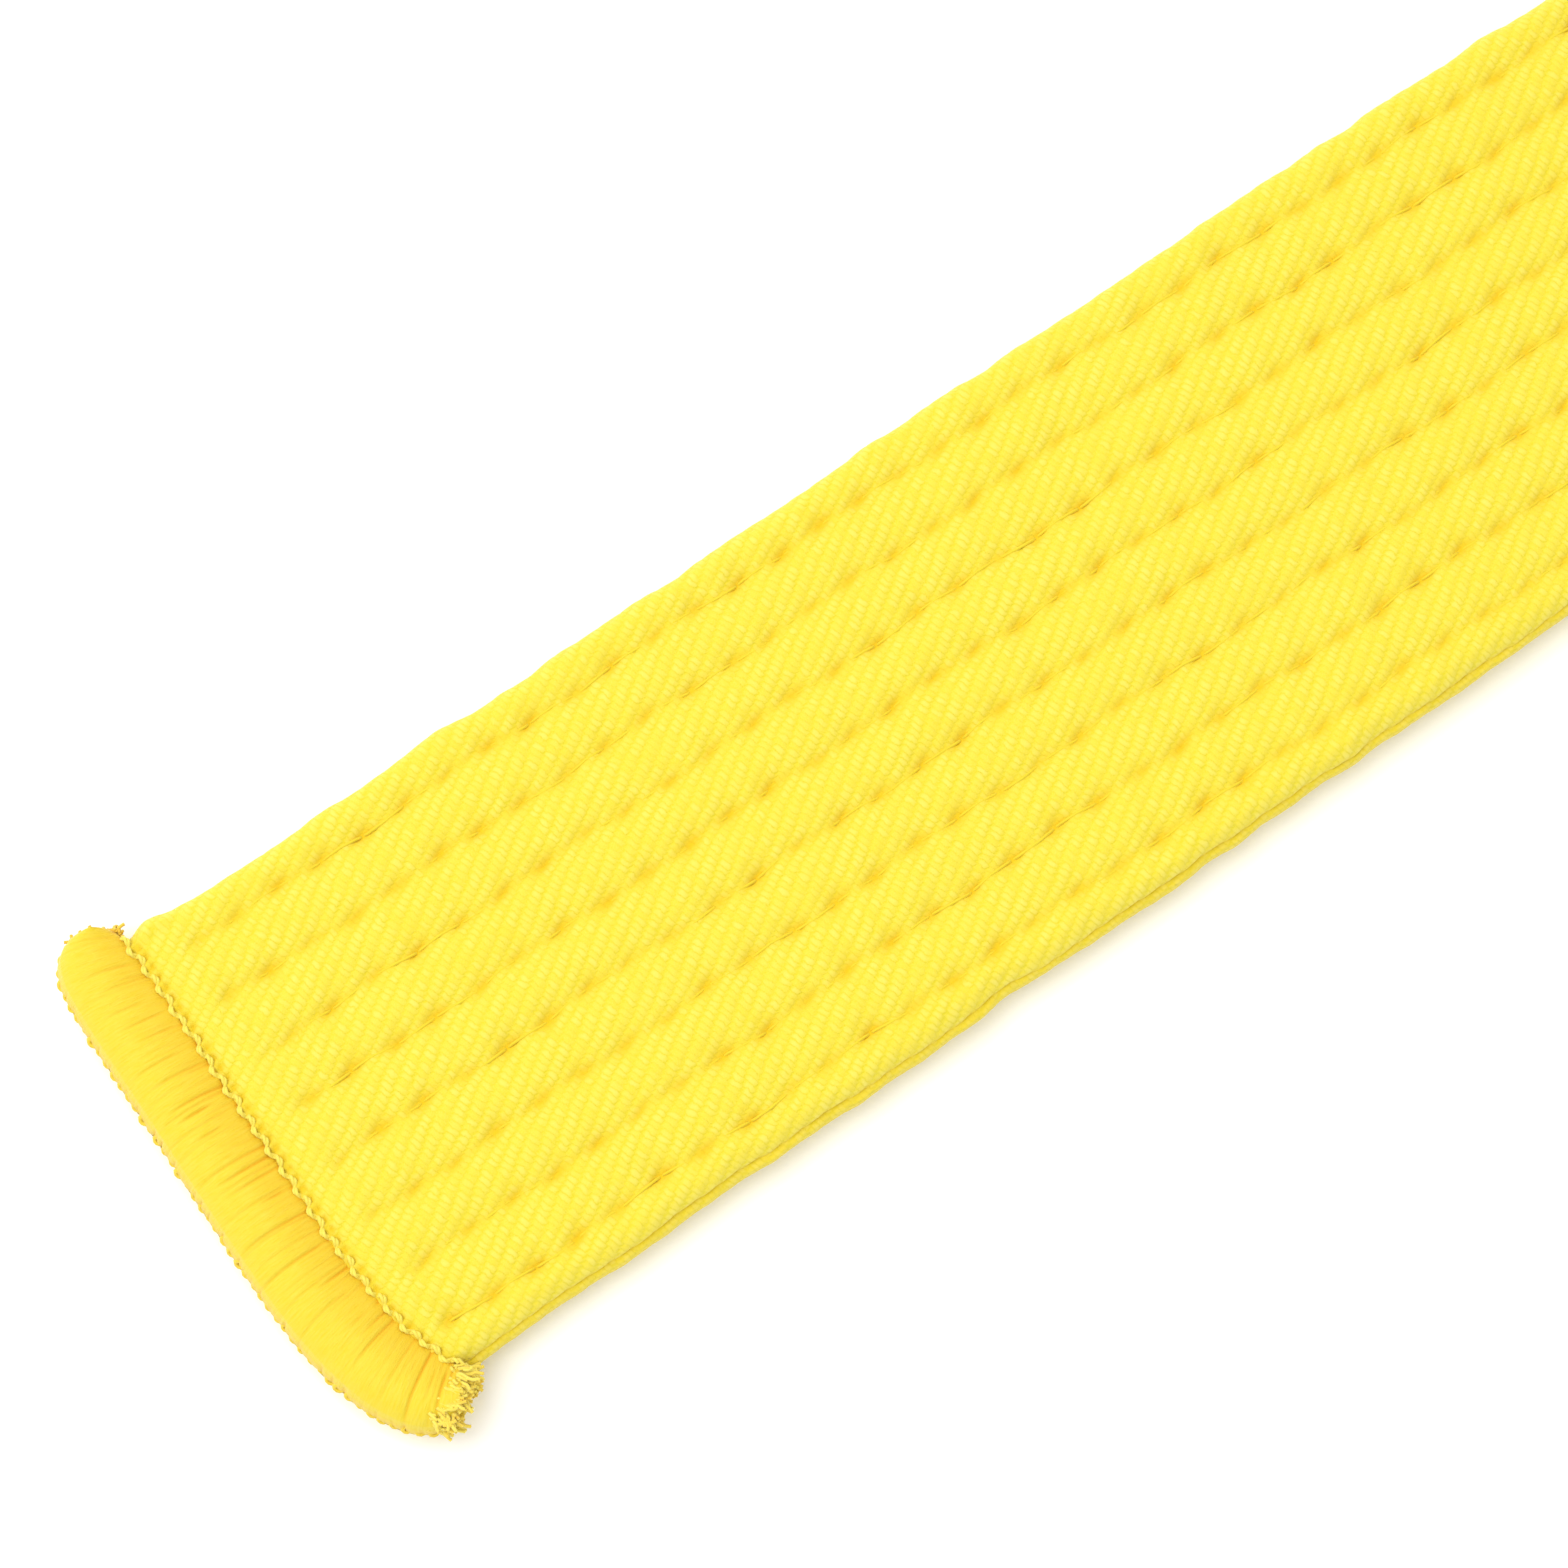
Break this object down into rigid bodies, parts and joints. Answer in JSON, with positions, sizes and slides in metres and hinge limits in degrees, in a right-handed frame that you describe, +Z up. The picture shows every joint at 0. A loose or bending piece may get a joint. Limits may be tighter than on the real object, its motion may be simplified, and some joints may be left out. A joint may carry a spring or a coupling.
{
  "type": "martial arts belt",
  "caption": "Quilted yellow cotton martial arts belt with overlocked ends, one end lying flat and the rest rolled up.",
  "frame": {"origin": "on the surface the belt lies on, under the middle of its outer box", "axes": "+X along the flat tail towards the roll, +Y across the belt, +Z up from the surface it lies on"},
  "size_m": [0.3, 0.0462, 0.1402],
  "materials": {
    "cover_twill": "matt brushed cotton twill, lemon yellow",
    "core_cotton": "matt unbleached cotton interlining",
    "sewing_thread": "spun polyester sewing thread, slight sheen",
    "wrap_thread": "soft bulked overlock thread, slight sheen",
    "wrap_needle_thread": "twisted overlock needle thread, slight sheen"
  },
  "bodies": {
    "rolled_belt": {"cover_flat_run": "cover_twill", "cover_rolled": "cover_twill", "core_ply_1_rolled": "core_cotton", "core_ply_2_rolled": "core_cotton", "needle_thread_1_rolled": "sewing_thread", "bobbin_thread_1_rolled": "sewing_thread", "needle_thread_2_rolled": "sewing_thread", "bobbin_thread_2_rolled": "sewing_thread", "needle_thread_3_rolled": "sewing_thread", "bobbin_thread_3_rolled": "sewing_thread", "needle_thread_4_rolled": "sewing_thread", "bobbin_thread_4_rolled": "sewing_thread", "needle_thread_5_rolled": "sewing_thread", "bobbin_thread_5_rolled": "sewing_thread", "needle_thread_6_rolled": "sewing_thread", "bobbin_thread_6_rolled": "sewing_thread", "needle_thread_7_rolled": "sewing_thread", "bobbin_thread_7_rolled": "sewing_thread", "needle_thread_8_rolled": "sewing_thread", "bobbin_thread_8_rolled": "sewing_thread", "inner_end_wrap_upper_looper": "wrap_thread", "inner_end_wrap_lower_looper": "wrap_thread", "inner_end_wrap_needle_thread": "wrap_needle_thread", "inner_end_thread_tail_left": "wrap_thread", "inner_end_thread_tail_right": "wrap_thread"},
    "free_tail": {"cover_tail": "cover_twill", "core_ply_1_tail": "core_cotton", "core_ply_2_tail": "core_cotton", "needle_thread_1_tail": "sewing_thread", "bobbin_thread_1_tail": "sewing_thread", "needle_thread_2_tail": "sewing_thread", "bobbin_thread_2_tail": "sewing_thread", "needle_thread_3_tail": "sewing_thread", "bobbin_thread_3_tail": "sewing_thread", "needle_thread_4_tail": "sewing_thread", "bobbin_thread_4_tail": "sewing_thread", "needle_thread_5_tail": "sewing_thread", "bobbin_thread_5_tail": "sewing_thread", "needle_thread_6_tail": "sewing_thread", "bobbin_thread_6_tail": "sewing_thread", "needle_thread_7_tail": "sewing_thread", "bobbin_thread_7_tail": "sewing_thread", "needle_thread_8_tail": "sewing_thread", "bobbin_thread_8_tail": "sewing_thread", "flat_end_wrap_upper_looper": "wrap_thread", "flat_end_wrap_lower_looper": "wrap_thread", "flat_end_wrap_needle_thread": "wrap_needle_thread", "flat_end_thread_tail_left": "wrap_thread", "flat_end_thread_tail_right": "wrap_thread"}
  },
  "joints": [
    {"name": "tail_bend", "type": "hinge", "parent": "rolled_belt", "child": "free_tail", "pos_m": [-0.05505, 0, 0.0046], "axis": [0, 1, 0], "range_deg": [0, 75]}
  ]
}
